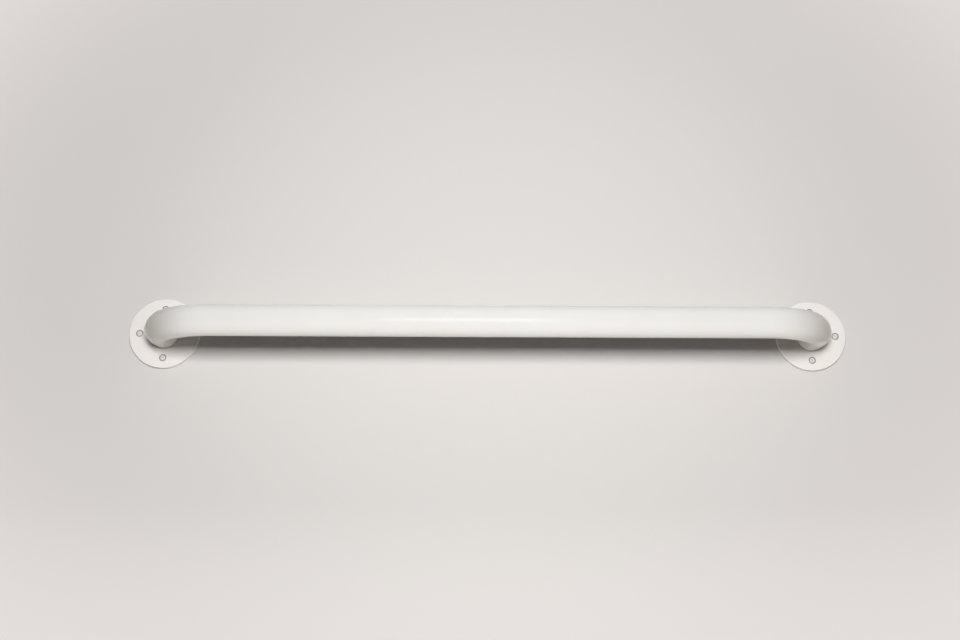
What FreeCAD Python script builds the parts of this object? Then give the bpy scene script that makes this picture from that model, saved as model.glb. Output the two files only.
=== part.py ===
import FreeCAD, Part
import os

import Sketcher

os.makedirs("parts", exist_ok=True)

# A straight wall grab bar: one bent tube, welded at each end into a round flange that is screwed on.
# +X runs along the bar to the right, -Y leads away from the wall and +Z is up.
# The origin is on the wall plane, midway between the centres of the two flanges.
# Lengths are in millimetres and angles in degrees.

SIZES = {
    # The bar
    "flange_spacing": 700,  # centre of one flange to the centre of the other
    "leg_length": 10,  # wall to the start of the bend
    "bend_radius": 65,  # to the middle of the tube
    "tube_diameter": 32,
    "tube_wall": 1.5,
    "tube_end_gap": 0.3,  # the tube stops this far short of the wall
    # The flanges
    "flange_diameter": 76,
    "flange_thickness": 3,
    "rim_round": 0.9,
    "bore_clearance": 0.15,  # all round the tube
    "bore_round": 0.4,
    "weld_leg": 1.6,  # groove round the tube's end, on the wall side
    "hole_circle": 53,
    "hole_diameter": 5.4,
    "sink_diameter": 7.4,
    # The screws
    "head_diameter": 6,
    "head_land": 0.25,  # straight edge round the top of the head
    "shank_diameter": 3,
    "thread_diameter": 4,
    "screw_length": 45,
    "point_length": 4.5,
    "thread_start": 7,  # from the wall plane, into the wall
    "recess_width": 0.8,
    "recess_length": 3.2,
    "recess_depth": 1.5,
    "recess_taper": 8,
    # The wall plugs
    "plug_depth": 8,  # set in below the wall's tile or plaster
    "plug_diameter": 6,
    "plug_length": 30,
    "collar_length": 5,
    "tooth_pitch": 2.5,
    "tooth_depth": 0.35,
    "slit_width": 0.7,
    "slit_length": 21,
    "fin_width": 0.8,
    "fin_height": 0.7,
    "fin_length": 9,
    # Cuts run this far past what they cut
    "overrun": 1,
}

HOLE_COUNT = 4
SLIT_COUNT = 2
TOOTH_COUNT = 8
FULL_TURN = 360
QUARTER_TURN = 90
RECESS_TURN = 37  # each screw stopped at another angle
DIAGONAL_SHARE = 0.5**0.5  # of a bend's radius, to the middle of its quarter turn
SAME_SHARE = 0.000001  # two sizes this close are one

# How a sketch counts the ends of a line, the centre of a circle, and its own two axes
START_INDEX = 1
END_INDEX = 2
CENTRE_INDEX = 3
ACROSS_INDEX = -1  # its start is the sketch's origin
UP_INDEX = -2

X_AXIS = FreeCAD.Vector(1, 0, 0)
Z_AXIS = FreeCAD.Vector(0, 0, 1)

doc = FreeCAD.newDocument("grab_bar")
sheet = doc.addObject("Spreadsheet::Sheet", "sizes")
for row, (word, number) in enumerate(SIZES.items(), start=1):
    sheet.set(f"A{row}", word)
    sheet.set(f"B{row}", str(number))
    sheet.setAlias(f"B{row}", word)
doc.recompute()


def amount(formula):
    """The number that a formula of the sheet's sizes gives."""
    return float(sheet.evalExpression(formula))


def bind(thing, path, formula):
    """Tie one size of a feature to a formula of the sheet's sizes."""
    thing.setExpression(path, formula)


def new_body(label):
    """An empty body with its label, which names its file."""
    body = doc.addObject("PartDesign::Body", label)
    body.Label = label
    return body


def new_sketch(body, role, lift=None):
    """A sketch on one of the body's origin planes, or lifted off it along the plane's normal."""
    plane = next(item for item in body.Origin.OriginFeatures if item.Role == role)
    sketch = body.newObject("Sketcher::SketchObject", body.Label + "_sketch")
    sketch.AttachmentSupport = [(plane, "")]
    sketch.MapMode = "FlatFace"
    if lift:
        bind(sketch, ".AttachmentOffset.Base.z", lift)
    return sketch


def hold(sketch, axis, line, end, formula):
    """Fix one coordinate of a point from the sketch's origin, or put it on the other axis if it is 0."""
    number = amount(formula)
    if number == 0:
        other = UP_INDEX if axis == "X" else ACROSS_INDEX
        sketch.addConstraint(Sketcher.Constraint("PointOnObject", line, end, other))
        return
    ahead = number > 0
    ends = (ACROSS_INDEX, START_INDEX, line, end) if ahead else (line, end, ACROSS_INDEX, START_INDEX)
    index = sketch.addConstraint(Sketcher.Constraint("Distance" + axis, *ends, abs(number)))
    bind(sketch, f"Constraints[{index}]", formula if ahead else f"-({formula})")


def add_outline(sketch, points):
    """A closed run of straight lines through points whose two coordinates are formulas."""
    spots = [FreeCAD.Vector(amount(across), amount(along), 0) for across, along in points]
    after = spots[1:] + spots[:1]
    sketch.addGeometry([Part.LineSegment(a, b) for a, b in zip(spots, after)], False)
    for line, (across, along) in enumerate(points):
        before = (line - 1) % len(points)
        sketch.addConstraint(Sketcher.Constraint("Coincident", before, END_INDEX, line, START_INDEX))
        hold(sketch, "X", line, START_INDEX, across)
        hold(sketch, "Y", line, START_INDEX, along)


def add_circle(sketch, diameter, across="0", along="0"):
    """A circle whose diameter and centre are formulas."""
    middle = FreeCAD.Vector(amount(across), amount(along), 0)
    circle = Part.Circle(middle, Z_AXIS, amount(diameter) / 2)
    line = sketch.addGeometry(circle, False)
    hold(sketch, "X", line, CENTRE_INDEX, across)
    hold(sketch, "Y", line, CENTRE_INDEX, along)
    index = sketch.addConstraint(Sketcher.Constraint("Diameter", line, amount(diameter)))
    bind(sketch, f"Constraints[{index}]", diameter)


def add_pad(body, sketch, length):
    pad = body.newObject("PartDesign::Pad", body.Label + "_pad")
    pad.Profile = sketch
    bind(pad, "Length", length)
    doc.recompute()


def add_pocket(body, sketch, length, ahead=False, taper=None):
    """Cut along the sketch's normal when ahead is set, and against it otherwise."""
    before = body.Shape.Volume
    pocket = body.newObject("PartDesign::Pocket", body.Label + "_pocket")
    pocket.Profile = sketch
    pocket.Reversed = ahead
    bind(pocket, "Length", length)
    if taper:
        bind(pocket, "TaperAngle", taper)
    doc.recompute()
    if not body.Shape.Volume < before:
        raise ValueError(f"{pocket.Name} cuts nothing")
    return pocket


def add_turned(body, points):
    """A solid turned about the body's Z axis from an outline of radius and height."""
    sketch = new_sketch(body, "XZ_Plane")
    add_outline(sketch, points)
    turned = body.newObject("PartDesign::Revolution", body.Label + "_turned")
    turned.Profile = sketch
    turned.ReferenceAxis = (sketch, ["V_Axis"])
    doc.recompute()


def add_pattern(body, cut, sketch, count, angle):
    """Repeat a cut about the sketch's normal."""
    pattern = body.newObject("PartDesign::PolarPattern", body.Label + "_pattern")
    pattern.Originals = [cut]
    pattern.Axis = (sketch, ["N_Axis"])
    pattern.Angle = angle
    pattern.Occurrences = count
    body.Tip = pattern
    doc.recompute()
    return pattern


def circles_at(feature, diameter, height):
    """The names of a feature's round edges of one diameter at one height."""
    radius = amount(diameter) / 2
    level = amount(height)
    slack = radius * SAME_SHARE
    names = []
    for number, edge in enumerate(feature.Shape.Edges, start=1):
        if not isinstance(edge.Curve, Part.Circle):
            continue
        same_radius = abs(edge.Curve.Radius - radius) < slack
        same_level = abs(edge.Curve.Center.z - level) < slack
        if same_radius and same_level:
            names.append(f"Edge{number}")
    return names


def add_edge_cut(body, kind, base, names, size_path, size):
    """A fillet or a chamfer on named edges of the base feature."""
    cut = body.newObject("PartDesign::" + kind, f"{body.Label}_{kind.lower()}")
    cut.Base = (base, names)
    bind(cut, size_path, size)
    doc.recompute()
    return cut


# The tube: out from the left flange, round a bend, along the bar, round a bend and back to the right.

STANDOFF = "(sizes.leg_length + sizes.bend_radius)"


def make_rail():
    body = new_body("rail_tube")
    half = amount("flange_spacing / 2")
    gap = amount("tube_end_gap")
    out = amount(STANDOFF)
    bend = amount("bend_radius")
    slant = bend - bend * DIAGONAL_SHARE
    left_foot = FreeCAD.Vector(-half, -gap, 0)
    left_top = FreeCAD.Vector(-half, bend - out, 0)
    left_middle = FreeCAD.Vector(slant - half, slant - out, 0)
    run_start = FreeCAD.Vector(bend - half, -out, 0)
    run_end, right_middle, right_top, right_foot = [
        FreeCAD.Vector(-point.x, point.y, 0) for point in (run_start, left_middle, left_top, left_foot)
    ]

    path = new_sketch(body, "XY_Plane")
    stretches = path.addGeometry(
        [
            Part.LineSegment(left_foot, left_top),
            Part.Arc(left_top, left_middle, run_start),
            Part.LineSegment(run_start, run_end),
            Part.Arc(run_end, right_middle, right_top),
            Part.LineSegment(right_top, right_foot),
        ],
        False,
    )
    left_leg, left_bend, run, right_bend, right_leg = stretches
    for here, there in zip(stretches, stretches[1:]):
        path.addConstraint(Sketcher.Constraint("Tangent", here, END_INDEX, there, START_INDEX))
    feet = (left_leg, START_INDEX, right_leg, END_INDEX)
    origin = (ACROSS_INDEX, START_INDEX)
    path.addConstraint(Sketcher.Constraint("Vertical", left_leg))
    path.addConstraint(Sketcher.Constraint("Horizontal", run))
    path.addConstraint(Sketcher.Constraint("Symmetric", *feet, UP_INDEX))
    path.addConstraint(Sketcher.Constraint("Equal", left_bend, right_bend))
    measured = (
        (Sketcher.Constraint("DistanceX", *feet, 2 * half), "sizes.flange_spacing"),
        (Sketcher.Constraint("DistanceY", left_leg, START_INDEX, *origin, gap), "sizes.tube_end_gap"),
        (Sketcher.Constraint("DistanceY", run, START_INDEX, *origin, out), STANDOFF),
        (Sketcher.Constraint("Radius", left_bend, bend), "sizes.bend_radius"),
    )
    for constraint, formula in measured:
        index = path.addConstraint(constraint)
        bind(path, f"Constraints[{index}]", formula)

    section = new_sketch(body, "XZ_Plane", "sizes.tube_end_gap")
    for diameter in ("sizes.tube_diameter", "sizes.tube_diameter - 2 * sizes.tube_wall"):
        add_circle(section, diameter, "-sizes.flange_spacing / 2")
    doc.recompute()

    pipe = body.newObject("PartDesign::AdditivePipe", "rail_tube_pipe")
    pipe.Profile = section
    pipe.Spine = (path, [f"Edge{number}" for number in range(1, len(stretches) + 1)])
    doc.recompute()

    ring = Part.makeFace(section.Shape.Wires, "Part::FaceMakerBullseye").Area
    route = path.Shape.Length
    print("tube volume over section times length", body.Shape.Volume / (ring * route))
    return body


# A flange: a round plate with a bore, a weld groove on the wall side and four countersunk holes.

def make_flange(label):
    body = new_body(label)
    disc = new_sketch(body, "XY_Plane")
    add_circle(disc, "sizes.flange_diameter")
    add_pad(body, disc, "sizes.flange_thickness")

    bore = new_sketch(body, "XY_Plane")
    add_circle(bore, "sizes.tube_diameter + 2 * sizes.bore_clearance")
    bored = add_pocket(body, bore, "sizes.flange_thickness + sizes.overrun", ahead=True)

    bore_size = "tube_diameter + 2 * bore_clearance"
    front = "flange_thickness"
    back_edge = circles_at(bored, bore_size, "0")
    groove = add_edge_cut(body, "Chamfer", bored, back_edge, "Size", "sizes.weld_leg")
    rim_edge = circles_at(groove, "flange_diameter", front)
    rim = add_edge_cut(body, "Fillet", groove, rim_edge, "Radius", "sizes.rim_round")
    bore_edge = circles_at(rim, bore_size, front)
    add_edge_cut(body, "Fillet", rim, bore_edge, "Radius", "sizes.bore_round")

    hole = new_sketch(body, "XY_Plane")
    add_circle(hole, "sizes.hole_diameter", "sizes.hole_circle / 2")
    drilled = add_pocket(body, hole, "sizes.flange_thickness + sizes.overrun", ahead=True)
    pattern = add_pattern(body, drilled, hole, HOLE_COUNT, FULL_TURN)
    hole_edges = circles_at(pattern, "hole_diameter", front)
    sink_depth = "(sizes.sink_diameter - sizes.hole_diameter) / 2"
    add_edge_cut(body, "Chamfer", pattern, hole_edges, "Size", sink_depth)
    return body


# The weld: a ring that fills the groove between the flange and the tube, flush with the flange's back.

def make_weld(label):
    body = new_body(label)
    tube = "sizes.tube_diameter / 2"
    bore = "sizes.tube_diameter / 2 + sizes.bore_clearance"
    add_turned(
        body,
        [
            (tube, "0"),
            (bore + " + sizes.weld_leg", "0"),
            (bore, "sizes.weld_leg"),
            (tube, "sizes.weld_leg"),
        ],
    )
    return body


# A screw: countersunk head with a cross recess, shank, thread as a cylinder of its outer size, point.
# Its own Z axis leads from the top of the head into the wall.

HEAD_TOP = "(sizes.flange_thickness - (sizes.sink_diameter - sizes.head_diameter) / 2 + sizes.head_land)"


def make_screw(label):
    body = new_body(label)
    head = "sizes.head_diameter / 2"
    shank = "sizes.shank_diameter / 2"
    thread = "sizes.thread_diameter / 2"
    add_turned(
        body,
        [
            ("0", "0"),
            (head, "0"),
            (head, "sizes.head_land"),
            (shank, f"sizes.head_land + {head} - {shank}"),
            (shank, HEAD_TOP + " + sizes.thread_start"),
            (thread, f"{HEAD_TOP} + sizes.thread_start + {thread} - {shank}"),
            (thread, "sizes.screw_length - sizes.point_length"),
            ("0", "sizes.screw_length"),
        ],
    )
    wide = "sizes.recess_width / 2"
    far = "sizes.recess_length / 2"
    cross = new_sketch(body, "XY_Plane")
    add_outline(
        cross,
        [
            (wide, wide),
            (wide, far),
            ("-" + wide, far),
            ("-" + wide, wide),
            ("-" + far, wide),
            ("-" + far, "-" + wide),
            ("-" + wide, "-" + wide),
            ("-" + wide, "-" + far),
            (wide, "-" + far),
            (wide, "-" + wide),
            (far, "-" + wide),
            (far, wide),
        ],
    )
    add_pocket(body, cross, "sizes.recess_depth", ahead=True, taper="-sizes.recess_taper")
    return body


# A wall plug: plain collar, saw teeth, two fins against turning, a screw bore and a crossed slit.
# Its own Z axis leads from its mouth into the wall.

def make_plug(label):
    body = new_body(label)
    outer = "sizes.plug_diameter / 2"
    root = outer + " - sizes.tooth_depth"
    points = [("0", "0"), (outer, "0"), (outer, "sizes.collar_length")]
    for tooth in range(TOOTH_COUNT):
        points.append((root, f"sizes.collar_length + {tooth} * sizes.tooth_pitch + sizes.tooth_depth"))
        points.append((outer, f"sizes.collar_length + {tooth + 1} * sizes.tooth_pitch"))
    points.append((root, "sizes.plug_length"))
    points.append(("0", "sizes.plug_length"))
    add_turned(body, points)

    fin = new_sketch(body, "XY_Plane", "sizes.tooth_depth")
    wide = "sizes.fin_width / 2"
    far = "(sizes.plug_diameter / 2 + sizes.fin_height)"
    add_outline(fin, [(far, wide), ("-" + far, wide), ("-" + far, "-" + wide), (far, "-" + wide)])
    add_pad(body, fin, "sizes.fin_length")

    bore = new_sketch(body, "XY_Plane")
    add_circle(bore, "sizes.thread_diameter")
    add_pocket(body, bore, "sizes.plug_length + sizes.overrun", ahead=True)

    slit = new_sketch(body, "XY_Plane", "sizes.plug_length")
    wide = "sizes.slit_width / 2"
    far = "(sizes.plug_diameter / 2 + sizes.overrun)"
    add_outline(slit, [(far, wide), ("-" + far, wide), ("-" + far, "-" + wide), (far, "-" + wide)])
    cut = add_pocket(body, slit, "sizes.slit_length")
    add_pattern(body, cut, slit, SLIT_COUNT, QUARTER_TURN)
    return body


# Where each piece goes: flanges and welds face the room, screws and plugs point into the wall.

out_of_wall = FreeCAD.Rotation(X_AXIS, QUARTER_TURN)
into_wall = FreeCAD.Rotation(X_AXIS, -QUARTER_TURN)


def put(body, turn, across, out, up):
    """Place a body by formulas for how far it lies across, out of the wall and up."""
    body.Placement = FreeCAD.Placement(FreeCAD.Vector(0, 0, 0), turn)
    bind(body, ".Placement.Base.x", across)
    bind(body, ".Placement.Base.y", f"-({out})")
    bind(body, ".Placement.Base.z", up)


bodies = [make_rail()]
for side, sign in (("left", "-"), ("right", "")):
    centre = sign + "sizes.flange_spacing / 2"
    flange = make_flange("flange_" + side)
    weld = make_weld("weld_" + side)
    for body in (flange, weld):
        put(body, out_of_wall, centre, "0", "0")
        bodies.append(body)
    reach = "sizes.hole_circle / 2"
    inward = " - " if sign == "" else " + "
    outward = " + " if sign == "" else " - "
    holes = {
        "top": (centre, reach),
        "outer": (centre + outward + reach, "0"),
        "bottom": (centre, "-" + reach),
        "inner": (centre + inward + reach, "0"),
    }
    for hole, (across, up) in holes.items():
        spin = FreeCAD.Rotation(Z_AXIS, RECESS_TURN * len(bodies))
        screw = make_screw(f"screw_{side}_{hole}")
        put(screw, into_wall * spin, across, HEAD_TOP, up)
        plug = make_plug(f"wall_plug_{side}_{hole}")
        put(plug, into_wall, across, "-sizes.plug_depth", up)
        bodies += [screw, plug]

doc.recompute()

for thing in doc.Objects:
    if any(word in thing.State for word in ("Invalid", "Error")):
        raise ValueError(f"{thing.Name} failed: {thing.State}")
for body in bodies:
    if body.Shape.isNull() or not body.Shape.isValid() or len(body.Shape.Solids) != 1:
        raise ValueError(f"{body.Label} is not one sound solid")
for body in bodies:
    body.Shape.exportStep(f"parts/{body.Label}.step")
    print(body.Label, round(body.Shape.Volume), "cubic millimetres")
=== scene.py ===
import math

import bmesh
import bpy
import numpy as np
from mathutils import Matrix, Vector


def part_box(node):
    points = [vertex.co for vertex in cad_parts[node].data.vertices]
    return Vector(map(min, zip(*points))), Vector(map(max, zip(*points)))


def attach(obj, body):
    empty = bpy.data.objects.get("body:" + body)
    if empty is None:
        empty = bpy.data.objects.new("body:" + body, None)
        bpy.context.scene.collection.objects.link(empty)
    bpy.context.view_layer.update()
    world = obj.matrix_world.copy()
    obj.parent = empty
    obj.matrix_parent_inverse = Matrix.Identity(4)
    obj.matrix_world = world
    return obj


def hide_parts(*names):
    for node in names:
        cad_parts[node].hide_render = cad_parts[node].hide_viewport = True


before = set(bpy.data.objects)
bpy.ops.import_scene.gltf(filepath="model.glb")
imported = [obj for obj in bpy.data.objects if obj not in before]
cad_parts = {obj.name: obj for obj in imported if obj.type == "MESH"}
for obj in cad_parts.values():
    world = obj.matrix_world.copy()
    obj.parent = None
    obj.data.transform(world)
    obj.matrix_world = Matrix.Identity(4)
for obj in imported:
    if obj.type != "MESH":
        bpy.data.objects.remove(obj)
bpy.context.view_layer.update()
print("frame loaded with", len(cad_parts), "nodes")

# The bar lies along X, the wall is the plane y = 0 and the room is on its -Y side. Lengths are in metres.
mm = 0.001
sides = ("left", "right")
places = ("top", "outer", "bottom", "inner")

# The flanges and the screws of the frame give the places of all that follows
flangeLow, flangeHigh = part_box("flange_right")
screwLow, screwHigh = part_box("screw_right_outer")
flange = {
    "centre": (flangeLow.x + flangeHigh.x) / 2,
    "radius": (flangeHigh.x - flangeLow.x) / 2,
    "thickness": flangeHigh.y - flangeLow.y,
}
flange["screwCircle"] = (screwLow.x + screwHigh.x) / 2 - flange["centre"]
flange["headRadius"] = (screwHigh.x - screwLow.x) / 2


# Surfaces

# A closed surface through a grid of points, rows x columns x 3. Every row is a ring that closes on itself.
# Without poles the last row joins the first, as on a doughnut; with poles a point closes each end.
# The UV map holds turns round the ring, and metres from the first row, measured along the first column.
def makeMesh(name, points, poles=None, sharpAngle=40):
    rows, columns = points.shape[:2]
    index = np.arange(rows * columns).reshape(rows, columns)
    here = index if poles is None else index[:-1]
    there = np.roll(index, -1, axis=0) if poles is None else index[1:]
    quads = np.stack((here, np.roll(here, -1, axis=1), np.roll(there, -1, axis=1), there), axis=-1)
    faces = quads.reshape(-1, 4).tolist()
    corners = points.reshape(-1, 3)

    steps = np.linalg.norm(np.roll(points[:, 0], -1, axis=0) - points[:, 0], axis=-1)
    metres = np.concatenate(([0], np.cumsum(steps)))
    column, row = np.meshgrid(np.arange(columns), np.arange(len(here)))
    turns = np.stack((column, column + 1, column + 1, column), axis=-1) / columns
    along = np.stack((metres[row], metres[row], metres[row + 1], metres[row + 1]), axis=-1)
    uv = np.stack((turns, along), axis=-1).reshape(-1, 2)

    if poles is not None:
        first, last = index[0], index[-1]
        firstPole = np.full(columns, len(corners))
        faces += np.stack((np.roll(first, -1), first, firstPole), axis=-1).tolist()
        faces += np.stack((last, np.roll(last, -1), firstPole + 1), axis=-1).tolist()
        corners = np.vstack((corners, poles))
        ends = np.zeros((2, columns, 3, 2))
        ends[..., 0] = (np.arange(columns)[:, None] + 0.5) / columns
        ends[1, ..., 1] = metres[rows - 1]
        uv = np.vstack((uv, ends.reshape(-1, 2)))

    mesh = bpy.data.meshes.new(name)
    mesh.from_pydata(corners.tolist(), [], faces)
    mesh.uv_layers.new(name="surface").uv.foreach_set("vector", uv.astype(np.float32).ravel())
    solid = bmesh.new()
    solid.from_mesh(mesh)
    if solid.calc_volume(signed=True) < 0:  # the faces have to point outwards
        mesh.flip_normals()
    solid.free()
    mesh.shade_smooth()
    mesh.set_sharp_from_angle(angle=math.radians(sharpAngle))
    return mesh


# A piece that rides on the part's one body, stands for a node and takes its finish from a slot
def addPiece(mesh, node, finish):
    piece = bpy.data.objects.new(mesh.name, mesh)
    bpy.context.scene.collection.objects.link(piece)
    mesh.materials.append(finish)
    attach(piece, "root")
    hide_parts(node)


# A node of the frame whose shape is right, with a new finish
def dressNode(node, finish):
    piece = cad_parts[node]
    for holder in piece.material_slots:
        holder.material = finish


# Shader nodes

# One output socket of a node, on which sums are written as they are on numbers
class Wire:
    def __init__(self, tree, socket):
        self.tree = tree
        self.socket = socket

    def feed(self, inlet):
        self.tree.links.new(self.socket, inlet)

    def outlet(self, name):
        return Wire(self.tree, self.socket.node.outputs[name])

    def maths(self, operation, *values):
        node = self.tree.nodes.new("ShaderNodeMath")
        node.operation = operation
        for inlet, value in zip(node.inputs, values):
            plug(inlet, value)
        return Wire(self.tree, node.outputs[0])

    def larger(self, other):
        return self.maths("MAXIMUM", self, other)

    def smaller(self, other):
        return self.maths("MINIMUM", self, other)

    def __add__(self, other):
        return self.maths("ADD", self, other)

    def __sub__(self, other):
        return self.maths("SUBTRACT", self, other)

    def __rsub__(self, other):
        return self.maths("SUBTRACT", other, self)

    def __mul__(self, other):
        return self.maths("MULTIPLY", self, other)

    def __pow__(self, other):
        return self.maths("POWER", self, other)

    def __abs__(self):
        return self.maths("ABSOLUTE", self)

    __radd__ = __add__
    __rmul__ = __mul__


def plug(inlet, value):
    if isinstance(value, Wire):
        value.feed(inlet)
    else:
        inlet.default_value = value


# The nodes of a material or of the world. Every node but the sums comes from add, which takes its type, its
# settings, which are set first, the values or links of its sockets by name or number, and the wanted output.
class Nodes:
    def __init__(self, holder):
        holder.use_nodes = True
        self.tree = holder.node_tree
        self.tree.nodes.clear()

    def add(self, kind, settings=None, inlets=None, output=0):
        node = self.tree.nodes.new(kind)
        for name, setting in (settings or {}).items():
            setattr(node, name, setting)
        for name, value in (inlets or {}).items():
            plug(node.inputs[name], value)
        return Wire(self.tree, node.outputs[output]) if node.outputs else None

    # 1 for what the camera sees, itself or in a mirror
    def seen(self):
        camera = self.add("ShaderNodeLightPath", output="Is Camera Ray")
        return camera + camera.outlet("Is Glossy Ray")


# One material, whose patterns follow the metres of the object
class Finish(Nodes):
    def __init__(self, name):
        self.material = bpy.data.materials.new(name)
        super().__init__(self.material)
        self.place = self.add("ShaderNodeTexCoord", output="Object")

    # Lumps of one size in metres, from 0 to 1
    def noise(self, size, detail=2):
        inlets = {"Vector": self.place, "Scale": 1 / size, "Detail": detail}
        return self.add("ShaderNodeTexNoise", None, inlets)

    # 0 below low, 1 above high and smooth in between
    def step(self, value, low, high):
        inlets = {"Value": value, "From Min": low, "From Max": high}
        return self.add("ShaderNodeMapRange", {"interpolation_type": "SMOOTHSTEP"}, inlets)

    # The first colour where share is 0 and the second where it is 1
    def mix(self, share, first, second):
        return self.add("ShaderNodeMix", {"data_type": "RGBA"}, {0: share, 6: first, 7: second}, 2)

    # Sparse round specks with soft edges: one in a cell of the given size, kept in a share of the cells. In a
    # few of those it is faint.
    def specks(self, cell, radius, keptShare, faintShare=0.01):
        cells = self.add("ShaderNodeTexVoronoi", None, {"Vector": self.place, "Scale": 1 / cell}, "Distance")
        draw = self.add("ShaderNodeSeparateColor", None, {"Color": cells.outlet("Color")})
        near = 1 - self.step(cells, radius / cell / 2, radius / cell)
        return near * self.step(draw, 1 - keptShare, 1 - keptShare + faintShare)

    # The metres along one axis: X is across, Y towards the wall and Z up
    def axis(self, name):
        return self.add("ShaderNodeSeparateXYZ", None, {"Vector": self.place}, name)

    # The distance from the axis of the nearest flange
    def fromFlange(self):
        return ((abs(self.axis("X")) - flange["centre"]) ** 2 + self.axis("Z") ** 2) ** 0.5

    # The distance from the axis of the nearest screw: one eighth of a flange stands for all of it
    def fromScrew(self):
        aside, up = abs(abs(self.axis("X")) - flange["centre"]), abs(self.axis("Z"))
        return ((aside.larger(up) - flange["screwCircle"]) ** 2 + aside.smaller(up) ** 2) ** 0.5

    # Relief from heights in metres
    def relief(self, height):
        return self.add("ShaderNodeBump", None, {"Height": height, "Distance": 1.0})

    def end(self, inlets):
        shader = self.add("ShaderNodeBsdfPrincipled", None, inlets)
        self.add("ShaderNodeOutputMaterial", None, {"Surface": shader})
        return self.material


# The finishes

coat = {
    "tube": (0.679, 0.674, 0.665, 1),
    "plate": (0.775, 0.748, 0.728, 1),
    "weld": (0.68, 0.67, 0.655, 1),
    "warm": (0.93, 0.905, 0.86, 1),  # the coat where it is thin or has yellowed, times its colour
    "warmShare": 0.35,
    "warmClouds": (0.35, 0.75),
    "bendShadeColour": (0.485, 0.455, 0.415, 1),  # painted shade: the tube's coat darker and greyer on its bends
    "bendShadeInside": 50 * mm,  # from the flanges' centres to where the painted shade starts
    "bendShadeOutside": 16 * mm,  # and to where it is full
    # dark colour for dirt and pinholes, and for painted shade on the plates
    "grime": (0.20, 0.185, 0.165, 1),
    "cloudSize": 55 * mm,
    "peelSize": 2.6 * mm,  # the lumps that powder leaves as it flows out
    "peelDepth": 0.0035 * mm,
    "grainSize": 0.45 * mm,
    "grainDepth": 0.0009 * mm,
    "weldRough": 3,  # times the depths, over a weld
    "roughness": 0.13,
    "cloudRoughness": 0.07,
    "peelRoughness": 0.03,
    "grimeRoughness": 0.4,
    "flour": 0.22,  # how evenly the coat scatters light that comes aslant
    "speckCell": 16 * mm,
    "speckRadius": 0.22 * mm,
    "speckKept": 0.3,
    "speckGrime": 0.45,
}

# Dirt where two parts meet, and painted shade round the screws' heads and along the plates' rims: distances,
# and shares of the grime colour
dirtAndShade = {
    "most": 0.9,
    "patchSize": 3 * mm,
    "seamStart": 0.1 * mm,
    "seamEnd": 0.9 * mm,
    "tubeSeam": 0.5,
    "tubePatches": (0.3, 0.7),
    "plateSeam": 0.55,
    "platePatches": (0.2, 0.7),
    "bore": 16.15 * mm,
    # painted shade in the countersink round each screw head
    "ring": 0.9,
    "ringStart": 0.65 * mm,  # from the edge of a screw's head
    "ringEnd": 1.05 * mm,
    "ringDepth": (0.6, 0.8),  # shares of the plate's thickness, from its back
    # painted shade on the rim near the wall and in a thin line along the lower edge of the face
    "rim": 0.85,
    "rimStart": 0.6 * mm,  # from the wall
    "rimEnd": 1.9 * mm,
    "shadeLineStart": 0.8 * mm,  # inside the edge of a plate's face, along its lower part
    "shadeLineEnd": 0.2 * mm,
    "shadeLineDepth": (0.85, 0.95),
    "shadeLineHeight": (-0.4, 0.5),  # shares of the plate's radius
}


# White powder coat: clouded a little, with sparse pinholes, a peel of two sizes and a changing gloss. A piece
# gives the shares of grime with painted shade and of painted shade on the bends, and how rough it is.
def powderCoat(finish, colour, grimy=0, rough=1, bendShade=0):
    cloud = finish.noise(coat["cloudSize"], 3)
    peel = finish.noise(coat["peelSize"])
    grain = finish.noise(coat["grainSize"])
    pits = finish.specks(coat["speckCell"], coat["speckRadius"], coat["speckKept"])
    tint = tuple(own * other for own, other in zip(colour, coat["warm"]))
    base = finish.mix(finish.step(cloud, *coat["warmClouds"]) * coat["warmShare"], colour, tint)
    # painted shade on the bends: the coat darker and greyer there
    base = finish.mix(bendShade, base, coat["bendShadeColour"])
    base = finish.mix(pits * coat["speckGrime"], base, coat["grime"])
    base = finish.mix(grimy, base, coat["grime"])
    clouded = (cloud - 0.5) * coat["cloudRoughness"] + (peel - 0.5) * coat["peelRoughness"]
    height = (peel * coat["peelDepth"] + grain * coat["grainDepth"] - pits * coat["peelDepth"]) * rough
    return finish.end(
        {
            "Base Color": base,
            "Roughness": coat["roughness"] + clouded + (grimy + pits) * coat["grimeRoughness"],
            "Diffuse Roughness": coat["flour"],
            "Normal": finish.relief(height),
        }
    )


# The tube is dirty along the seam with the plate, and its bends are darkened with painted shade
def tubeFinish():
    finish = Finish("coatedTube")
    fromSeam = abs(finish.axis("Y") + flange["thickness"])
    patchy = finish.step(finish.noise(dirtAndShade["patchSize"]), *dirtAndShade["tubePatches"])
    seam = (1 - finish.step(fromSeam, dirtAndShade["seamStart"], dirtAndShade["seamEnd"])) * patchy * dirtAndShade["tubeSeam"]
    inside, outside = flange["centre"] - coat["bendShadeInside"], flange["centre"] + coat["bendShadeOutside"]
    # painted shade on the bends, growing towards the flanges
    bendShade = finish.step(abs(finish.axis("X")), inside, outside)
    return powderCoat(finish, coat["tube"], seam, bendShade=bendShade)


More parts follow.
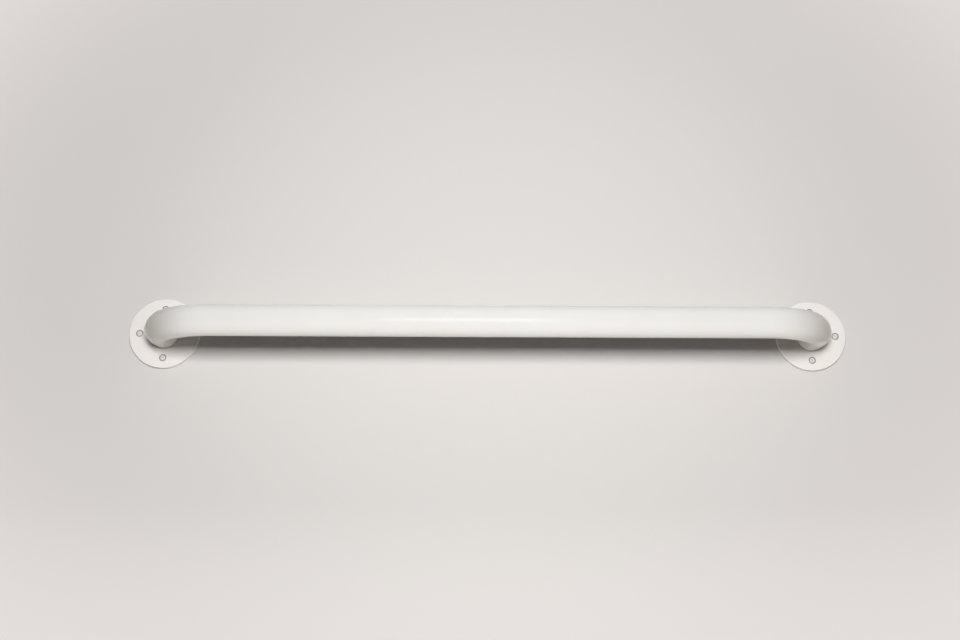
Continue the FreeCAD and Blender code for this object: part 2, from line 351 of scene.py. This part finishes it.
# The plates are dirty in the joint round the tube. Round the heads of the screws, on the rim near the wall
# and in a thin line along the lower edge of the face they are darkened with painted shade
def plateFinish():
    finish = Finish("coatedPlate")
    radius, head = flange["radius"], flange["headRadius"]
    fromFlange, fromScrew = finish.fromFlange(), finish.fromScrew()
    fromWall = abs(finish.axis("Y"))
    depth = fromWall * (1 / flange["thickness"])
    patchy = finish.step(finish.noise(dirtAndShade["patchSize"]), *dirtAndShade["platePatches"])
    joint = 1 - finish.step(fromFlange, dirtAndShade["bore"], dirtAndShade["bore"] + dirtAndShade["seamEnd"])
    # painted shade round each screw head, on the cone of its hole
    ring = 1 - finish.step(fromScrew, head + dirtAndShade["ringStart"], head + dirtAndShade["ringEnd"])
    ring = ring * finish.step(depth, *dirtAndShade["ringDepth"])
    # painted shade: the rim near the wall and a thin line along the lower edge of the face
    low, high = (share * radius for share in dirtAndShade["shadeLineHeight"])
    shadeLine = (1 - finish.step(finish.axis("Z"), low, high)) * finish.step(depth, *dirtAndShade["shadeLineDepth"])
    rim = (1 - finish.step(fromWall, dirtAndShade["rimStart"], dirtAndShade["rimEnd"])).larger(shadeLine)
    rim = rim * finish.step(fromFlange, radius - dirtAndShade["shadeLineStart"], radius - dirtAndShade["shadeLineEnd"])
    # dirt in the joint, with painted shade round the screws and along the rim
    grimy = joint * patchy * dirtAndShade["plateSeam"] + ring * dirtAndShade["ring"] + rim * dirtAndShade["rim"]
    return powderCoat(finish, coat["plate"], grimy.smaller(dirtAndShade["most"]))


def weldFinish():
    return powderCoat(Finish("weldBead"), coat["weld"], rough=coat["weldRough"])


zinc = {
    "blue": (0.79, 0.81, 0.82, 1),
    "warm": (0.86, 0.85, 0.81, 1),
    "metallic": 0.75,
    "roughness": 0.34,
    "ringSize": 0.11 * mm,  # turning marks
    "ringDepth": 0.003 * mm,
    "ringRoughness": 0.16,
    "cloudSize": 4 * mm,
    "clouds": (0.35, 0.65),
    "cloudRoughness": 0.2,
    "edgeShade": (0.16, 0.155, 0.15, 1),  # painted shade round the head's edge
    "edgeShadeShare": 0.8,
    "dullEdge": 0.45 * mm,
    "dullRoughness": 0.25,
    "dust": (0.66, 0.65, 0.63, 1),  # pale dust in the recess
    "dustShare": 0.85,
    "dustStart": (0.1 * mm, 0.9 * mm),  # depths below the head's top
    "dustEnd": (1.5 * mm, 1.6 * mm),
    "dustRadius": (1.7 * mm, 1.8 * mm),
}


# Zinc plate: blue and warm clouds, and fine turning marks that run round the screw. The edge of the head is
# rougher and darkened with painted shade, and dust lies in the recess.
def zincFinish():
    finish = Finish("zincScrew")
    surface = finish.add("ShaderNodeUVMap", {"uv_map": "surface"})
    along = finish.add("ShaderNodeSeparateXYZ", None, {"Vector": surface}, "Y")
    inlets = {"W": along, "Scale": 1 / zinc["ringSize"], "Detail": 2}
    rings = finish.add("ShaderNodeTexNoise", {"noise_dimensions": "1D"}, inlets)
    cloud = finish.noise(zinc["cloudSize"], 4)
    grain = finish.noise(coat["grainSize"], 3)
    marked = (rings - 0.5) * zinc["ringRoughness"] + (cloud - 0.5) * zinc["cloudRoughness"]
    depth, fromScrew = finish.axis("Y") - screwLow.y, finish.fromScrew()
    edge = finish.step(fromScrew, flange["headRadius"] - zinc["dullEdge"], flange["headRadius"])
    recess = finish.step(depth, *zinc["dustStart"]) * (1 - finish.step(depth, *zinc["dustEnd"]))
    dusty = recess * (1 - finish.step(fromScrew, *zinc["dustRadius"])) * zinc["dustShare"]
    base = finish.mix(finish.step(cloud, *zinc["clouds"]), zinc["blue"], zinc["warm"])
    # painted shade round the head's edge
    base = finish.mix(edge * zinc["edgeShadeShare"], base, zinc["edgeShade"])
    return finish.end(
        {
            "Base Color": finish.mix(dusty, base, zinc["dust"]),
            "Metallic": zinc["metallic"] * (1 - dusty),
            "Roughness": zinc["roughness"] + marked + edge * zinc["dullRoughness"],
            "Normal": finish.relief((rings + grain) * zinc["ringDepth"]),
        }
    )


nylon = {
    "colour": (0.56, 0.57, 0.585, 1),
    "flow": (0.66, 0.665, 0.67, 1),
    "roughness": 0.42,
    "flowSize": 6 * mm,
    "flows": (0.35, 0.7),
    "sparkSize": 0.35 * mm,  # the texture that spark erosion leaves in the mould
    "sparkDepth": 0.012 * mm,
    "sparkRoughness": 0.15,
}


# Grey nylon: paler flow clouds and the fine grain of its mould
def nylonFinish():
    finish = Finish("nylonPlug")
    flow = finish.noise(nylon["flowSize"], 3)
    spark = finish.noise(nylon["sparkSize"], 1)
    return finish.end(
        {
            "Base Color": finish.mix(finish.step(flow, *nylon["flows"]), nylon["colour"], nylon["flow"]),
            "Roughness": nylon["roughness"] + (spark - 0.5) * nylon["sparkRoughness"],
            "Normal": finish.relief(spark * nylon["sparkDepth"]),
        }
    )


# The flanges are the frame's own nodes

plate = plateFinish()
for side in sides:
    dressNode(f"flange_{side}", plate)
print("flanges dressed")


# The tube

railLow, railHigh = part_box("rail_tube")
rail = {
    "radius": railHigh.x - flange["centre"],
    "wall": 1.5 * mm,
    "bendRadius": 65 * mm,
    "endRound": 0.25 * mm,
    "flatShare": 0.025,  # a bent tube goes this much out of round
    "columns": 112,
    "legRows": 8,
    "bendRows": 60,
    "runRows": 60,
}
rail["standoff"] = -railLow.y - rail["radius"]
rail["legLength"] = rail["standoff"] - rail["bendRadius"] + railHigh.y


# The distances along the tube's axis at which its leg, bend, run, bend and leg begin and end
def railStops():
    leg, bend = rail["legLength"], rail["bendRadius"] * math.pi / 2
    run = 2 * (flange["centre"] - rail["bendRadius"])
    return np.cumsum((0, leg, bend, run, bend, leg))


# The tube's axis at the distances along it: a turning centre moves out from the wall, stays while the axis
# turns round it, slides along the bar, stays again and moves back, and the axis keeps one bend radius from
# it.
def railAxis(distance):
    stops = railStops()
    reach = flange["centre"] - rail["bendRadius"]
    turn = np.interp(distance, stops, np.radians((0, 0, 90, 90, 180, 180)))
    across = np.interp(distance, stops[2:4], (-reach, reach))
    start, depth = railHigh.y, rail["bendRadius"] - rail["standoff"]
    out = np.interp(distance, stops[[0, 1, 4, 5]], (start, depth, depth, start))
    outward = np.stack((-np.cos(turn), -np.sin(turn), np.zeros_like(turn)), axis=-1)
    centre = np.stack((across, out, np.zeros_like(turn)), axis=-1)
    return centre + rail["bendRadius"] * outward, outward, turn


# A circle of the given radius carried along the axis, squeezed towards the bend's centre in the bends
def railSkin(distance, radius):
    centre, outward, turn = railAxis(distance)
    squeeze = 1 - rail["flatShare"] * np.sin(2 * turn) ** 2
    angle = np.linspace(0, 2 * np.pi, rail["columns"], endpoint=False)
    across = (radius * squeeze)[:, None, None] * np.cos(angle)[None, :, None] * outward[:, None]
    upward = (radius * (2 - squeeze))[:, None] * np.sin(angle)
    points = centre[:, None] + across
    points[..., 2] += upward
    return points


# Outer skin from left to right and inner skin back, each with a small chamfer at both ends
def railMesh():
    stops, chamfer = railStops(), rail["endRound"]
    stretches = (
        [0],
        np.linspace(chamfer, stops[1], rail["legRows"], endpoint=False),
        np.linspace(stops[1], stops[2], rail["bendRows"], endpoint=False),
        np.linspace(stops[2], stops[3], rail["runRows"], endpoint=False),
        np.linspace(stops[3], stops[4], rail["bendRows"], endpoint=False),
        np.linspace(stops[4], stops[5] - chamfer, rail["legRows"]),
        [stops[5]],
    )
    distance = np.concatenate(stretches)
    outer = np.full(len(distance), rail["radius"])
    outer[[0, -1]] -= chamfer
    inner = np.full(len(distance), rail["radius"] - rail["wall"])
    inner[[0, -1]] += chamfer
    points = np.concatenate((railSkin(distance, outer), railSkin(distance[::-1], inner[::-1])))
    return makeMesh("grab_rail", points)


addPiece(railMesh(), "rail_tube", tubeFinish())
print("tube made")


# The weld rings, on the wall side

weld = {
    "leg": 1.6 * mm,
    "clearance": 0.15 * mm,
    "crown": 0.22 * mm,  # how far the bead's edges lie below its middle
    "rippleDepth": 0.1 * mm,
    "rippleCount": 56,
    "bow": 2.2,  # radians by which the middle of a ripple leads its edges
    "rows": 560,
    "faceColumns": 14,
    "sideColumns": 6,
}


# A triangle carried round the tube's end. Its face towards the wall is a crown with ripples bowed like
# scales: the depth of the face is a cosine of the turns round the ring plus a parabola across the bead.
def weldMesh(name, centre):
    tube = rail["radius"]
    bore = tube + weld["clearance"]
    turn = np.linspace(0, 2 * np.pi, weld["rows"], endpoint=False)[:, None]
    share = np.linspace(0, 1, weld["faceColumns"])[None, :]
    fromMiddle = 2 * share - 1
    wave = np.cos(weld["rippleCount"] * turn + weld["bow"] * fromMiddle**2)
    dip = weld["crown"] * fromMiddle**2 + weld["rippleDepth"] * (0.5 - 0.5 * wave) * (1 - fromMiddle**2)
    faceRadius = tube + share * (weld["clearance"] + weld["leg"]) + 0 * turn
    down = np.linspace(0, 1, weld["sideColumns"])[None, :]
    edge, root = dip[:, -1:], dip[:, :1]
    outRadius = bore + (weld["leg"] - edge) * (1 - down)
    outDepth = edge + (weld["leg"] - edge) * down
    backDepth = weld["leg"] + (root - weld["leg"]) * down[:, 1:-1]
    faceRadius[:, -1] = outRadius[:, 0]
    radius = np.concatenate((faceRadius, outRadius[:, 1:], tube + 0 * turn, tube + 0 * backDepth), axis=1)
    depth = np.concatenate((dip, outDepth[:, 1:], weld["leg"] + 0 * turn, backDepth), axis=1)
    points = np.stack((centre + radius * np.cos(turn), -depth, radius * np.sin(turn)), axis=-1)
    return makeMesh(name, points)


bead = weldFinish()
for side in sides:
    low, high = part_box(f"weld_{side}")
    addPiece(weldMesh(f"weld_bead_{side}", (low.x + high.x) / 2), f"weld_{side}", bead)
print("welds made")


# The screws

screw = {
    "land": 0.25 * mm,
    "lipRound": 0.12 * mm,
    "shankRadius": 1.5 * mm,
    "shankEnd": 7 * mm - screwLow.y,  # from the top of the head
    "coreRadius": 1.32 * mm,
    "crestRadius": 2 * mm,
    "pitch": 1.8 * mm,
    "ridgeShare": 0.42,  # of the pitch, the foot of the thread
    "runOut": 2.2 * mm,
    "pointLength": 4.5 * mm,
    "pointTaper": 0.8,
    "tipRadius": 0.12 * mm,
    "armWidth": 0.8 * mm,
    "armLength": 3.2 * mm,
    "recessDepth": 1.5 * mm,
    "armRise": 0.6 * mm,  # the recess is this much shallower at the ends of its arms
    "wallSlope": 0.22 * mm,
    "firstTurn": math.radians(111),  # at which the recess of the first screw stopped
    "sideTurn": math.radians(10),
    "placeTurn": math.radians(74),
    "sharpAngle": 55,
    "columns": 96,
    "topRows": 42,
    "lipRows": 5,
    "coneRows": 8,
    "shankRows": 8,
    "rowsPerPitch": 14,
}


# How deep the cross recess is at a radius and an angle: 0 on the top, falling over a steep smooth wall to a
# floor that rises towards the ends of the arms
def recessDepth(radius, angle):
    a, b = np.abs(radius * np.cos(angle)), np.abs(radius * np.sin(angle))
    beyond = np.maximum(np.minimum(a, b) - screw["armWidth"] / 2, np.maximum(a, b) - screw["armLength"] / 2)
    wall = np.clip(-beyond / screw["wallSlope"], 0, 1)
    floor = screw["recessDepth"] - screw["armRise"] * np.clip(radius / (screw["armLength"] / 2), 0, 1)
    return wall * wall * (3 - 2 * wall) * floor


# The thread's radius at a depth and an angle: a ridge that climbs one pitch in a turn, on a core that ends in
# a point; it grows out of the shank over the run-out
def threadRadius(depth, angle, length):
    phase = (depth / screw["pitch"] - angle / (2 * np.pi)) % 1
    ridge = np.clip(1 - np.abs(2 * phase - 1) / screw["ridgeShare"], 0, 1)
    toTip = np.clip((length - depth) / screw["pointLength"], 0, 1)
    start = np.clip((depth - screw["shankEnd"]) / screw["runOut"], 0, 1)
    core = screw["coreRadius"] * toTip ** screw["pointTaper"]
    core += (screw["shankRadius"] - screw["coreRadius"]) * (1 - start)
    crest = screw["crestRadius"] * toTip
    return np.maximum(core, core + (crest - core) * ridge * start) + screw["tipRadius"] * (1 - toTip)


# Rings from the middle of the head's top over its edge, down the cone and the shank and along the thread
def screwMesh(name, centre, top, headRadius, length, turn):
    angle = np.linspace(0, 2 * np.pi, screw["columns"], endpoint=False)[None, :]
    lip = screw["lipRound"]
    topRadius = np.linspace(0, headRadius - lip, screw["topRows"] + 1)[1:, None]
    bend = np.linspace(0, np.pi / 2, screw["lipRows"] + 1)[1:, None]
    lipRadius = headRadius - lip + lip * np.sin(bend)
    lipDepth = lip - lip * np.cos(bend)
    coneRadius = np.linspace(headRadius, screw["shankRadius"], screw["coneRows"])[:, None]
    coneDepth = screw["land"] + headRadius - coneRadius
    shankDepth = np.linspace(coneDepth[-1, 0], screw["shankEnd"], screw["shankRows"] + 1)[1:, None]
    rows = int((length - screw["shankEnd"]) / screw["pitch"] * screw["rowsPerPitch"])
    threadDepth = np.linspace(screw["shankEnd"], length, rows)[1:, None]
    even = np.ones_like(angle)
    radius = (
        topRadius * even,
        lipRadius * even,
        coneRadius * even,
        screw["shankRadius"] * even * np.ones_like(shankDepth),
        threadRadius(threadDepth, angle, length),
    )
    depth = (
        recessDepth(topRadius, angle + turn),
        lipDepth * even,
        coneDepth * even,
        shankDepth * even,
        threadDepth * even,
    )
    radius, depth = np.concatenate(radius), np.concatenate(depth)
    across, up = centre.x + radius * np.cos(angle), centre.z + radius * np.sin(angle)
    points = np.stack((across, top + depth, up), axis=-1)
    poles = ((centre.x, top + screw["recessDepth"], centre.z), (centre.x, top + length, centre.z))
    return makeMesh(name, points, poles, screw["sharpAngle"])


plating = zincFinish()
moulding = nylonFinish()
for sideNumber, side in enumerate(sides):
    for placeNumber, place in enumerate(places):
        low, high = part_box(f"screw_{side}_{place}")
        centre = (low + high) / 2
        turn = screw["firstTurn"] + screw["sideTurn"] * sideNumber + screw["placeTurn"] * placeNumber
        name = f"wood_screw_{side}_{place}"
        mesh = screwMesh(name, centre, low.y, (high.x - low.x) / 2, high.y - low.y, turn)
        addPiece(mesh, f"screw_{side}_{place}", plating)
        dressNode(f"wall_plug_{side}_{place}", moulding)
print("screws made and plugs dressed")


# The wall and the floor show only their front, and the wall is open behind the flanges, so that the bar is
# seen and lit from behind. Away from the bar they fade into the pale background, where the camera or the coat
# sees them.

studio = {
    "wallColour": (0.63, 0.611, 0.597, 1),
    "floorColour": (0.2, 0.19, 0.18, 1),
    "background": (0.785, 0.742, 0.727, 1),
    "halfWidth": 2.6,
    "wallTop": 1.7,
    "floorHeight": -0.95,
    "floorDepth": 3.2,
    "joint": 0.6 * mm,  # between the wall and the flanges' backs
    "openingRadius": flange["radius"] - 0.5 * mm,
    "openingSteps": 96,
    "fadeStart": 0.36,  # distance from a point above the bar's middle
    "fadeEnd": 0.8,
    "fadeHeight": 0.08,
    "fadeSquash": 1.3,  # heights count for more than widths
}


def paleFinish(name, colour):
    finish = Finish(name)
    painted = finish.add("ShaderNodeBsdfDiffuse", None, {"Color": colour})
    plain = finish.add("ShaderNodeEmission", None, {"Color": studio["background"]})
    clear = finish.add("ShaderNodeBsdfTransparent")
    raised = (finish.axis("Z") - studio["fadeHeight"]) * studio["fadeSquash"]
    distance = (finish.axis("X") ** 2 + raised**2 + finish.axis("Y") ** 2) ** 0.5
    away = finish.step(distance, studio["fadeStart"], studio["fadeEnd"])
    front = finish.add("ShaderNodeMixShader", None, {0: away * finish.seen(), 1: painted, 2: plain})
    behind = finish.add("ShaderNodeNewGeometry", output="Backfacing")
    shader = finish.add("ShaderNodeMixShader", None, {0: behind, 1: front, 2: clear})
    finish.add("ShaderNodeOutputMaterial", None, {"Surface": shader})
    return finish.material


def addStage(name, corners, faces, colour):
    mesh = bpy.data.meshes.new(name)
    mesh.from_pydata(corners, [], faces)
    mesh.materials.append(paleFinish(name, colour))
    board = bpy.data.objects.new(name, mesh)
    bpy.context.scene.collection.objects.link(board)


# One half of the wall: rays from the flange's centre cross the opening's circle and end on the half's border
def halfWall(middle, low, high):
    spans = [np.arctan2(z, x - middle) for x in (low[0], high[0]) for z in (low[1], high[1])]
    steps = np.linspace(-np.pi, np.pi, studio["openingSteps"], endpoint=False)
    turn = np.unique(np.concatenate((spans, steps)))
    ray = np.stack((np.cos(turn), np.sin(turn)), axis=-1)
    start = np.array((middle, 0))
    with np.errstate(divide="ignore"):
        reach = np.where(ray > 0, (np.array(high) - start) / ray, (np.array(low) - start) / ray)
    reach = np.where(np.isfinite(reach), reach, np.inf).min(axis=1)
    flat = np.concatenate((start + ray * studio["openingRadius"], start + ray * reach[:, None]))
    corners = np.insert(flat, 1, studio["joint"], axis=1)
    inner = np.arange(len(turn))
    outer = inner + len(turn)
    faces = np.stack((inner, outer, np.roll(outer, -1), np.roll(inner, -1)), axis=-1)
    return corners.tolist(), faces.tolist()


wide, ground, ceiling = studio["halfWidth"], studio["floorHeight"], studio["wallTop"]
addStage("wall_left", *halfWall(-flange["centre"], (-wide, ground), (0, ceiling)), studio["wallColour"])
addStage("wall_right", *halfWall(flange["centre"], (0, ground), (wide, ceiling)), studio["wallColour"])
front = -studio["floorDepth"]
back = studio["joint"]
floor = [(-wide, front, ground), (wide, front, ground), (wide, back, ground), (-wide, back, ground)]
addStage("floor", floor, [(0, 1, 2, 3)], studio["floorColour"])
print("stage made")


# Light: a soft box in front, a little above the bar, and a lamp that only the coat mirrors; a faint fill from
# the right; strips above, below and for the foot of the wall; two lamps behind; and a pale world

light = {
    "key": {"place": (0.006, -1.3, 0.084), "size": (0.33, 0.3), "power": 19.3},
    "streak": {"place": (-0.024, -1.26, -0.045), "size": (0.36, 0.3), "power": 0.75, "mirrorOnly": True},
    "right": {"place": (1.5, -0.9, 0), "size": (0.5, 0.5), "power": 1.8, "colour": (1, 0.86, 0.82)},
    "above": {"place": (0, -0.3, 1.3), "size": (1.2, 0.15), "power": 0.6},
    "below": {"place": (0, -0.06, -0.9), "size": (1.2, 0.1), "power": 3.8, "colour": (1, 0.93, 0.85)},
    "foot": {"place": (0, -0.3, -0.18), "size": (2.2, 0.1), "power": 2, "aim": (0, -0.3, -1)},
    "backLeft": {"place": (-0.8, 1.1, 0.5), "size": (0.7, 0.7), "power": 16},
    "backRight": {"place": (0.8, 1.1, 0.5), "size": (0.7, 0.7), "power": 16},
}
lampColour = (1, 0.995, 0.985)
ambient = {"Color": (1, 0.965, 0.91, 1), "Strength": 0.004}


# A lamp that is seen in no mirror, or only there. It aims at the bar's axis unless it says where.
def addLamp(name, values):
    lamp = bpy.data.lights.new(name, "AREA")
    lamp.shape = "RECTANGLE"
    lamp.size, lamp.size_y = values["size"]
    lamp.energy = values["power"]
    lamp.color = values.get("colour", lampColour)
    holder = bpy.data.objects.new(name, lamp)
    holder.location = values["place"]
    towards = Vector(values.get("aim", (values["place"][0], 0, 0))) - holder.location
    holder.rotation_euler = towards.to_track_quat("-Z", "Y").to_euler()
    mirrorOnly = values.get("mirrorOnly", False)
    holder.visible_camera = False
    holder.visible_diffuse = not mirrorOnly
    holder.visible_glossy = mirrorOnly
    bpy.context.scene.collection.objects.link(holder)


for name, values in light.items():
    addLamp(name, values)


# The world lights softly, and is the pale background where it is seen or mirrored
def makeWorld():
    world = bpy.data.worlds.new("pale")
    bpy.context.scene.world = world
    nodes = Nodes(world)
    soft = nodes.add("ShaderNodeBackground", None, ambient)
    shown = nodes.add("ShaderNodeBackground", None, {"Color": studio["background"]})
    blend = nodes.add("ShaderNodeMixShader", None, {0: nodes.seen(), 1: soft, 2: shown})
    nodes.add("ShaderNodeOutputWorld", None, {"Surface": blend})


makeWorld()
bpy.context.scene.view_settings.view_transform = "Standard"
print("light made")


# The camera stands in front of the bar, a little below it, and looks up

view = {
    "place": (-0.0217, -1.137, -0.2193),
    "focalPixels": 1067,  # in a frame 960 pixels wide
    "framePixels": 960,
    "sensor": 36,
    "rise": 0.2049,
    "swing": -0.0109,
    "lean": 0.0024,
}

camera = bpy.data.objects.new("camera", bpy.data.cameras.new("camera"))
camera.data.sensor_width = view["sensor"]
camera.data.lens = view["focalPixels"] / view["framePixels"] * view["sensor"]
level = Matrix.Rotation(view["swing"], 4, "Z") @ Matrix.Rotation(math.pi / 2 + view["rise"], 4, "X")
camera.matrix_world = Matrix.Translation(view["place"]) @ level @ Matrix.Rotation(view["lean"], 4, "Z")
bpy.context.scene.collection.objects.link(camera)
bpy.context.scene.camera = camera
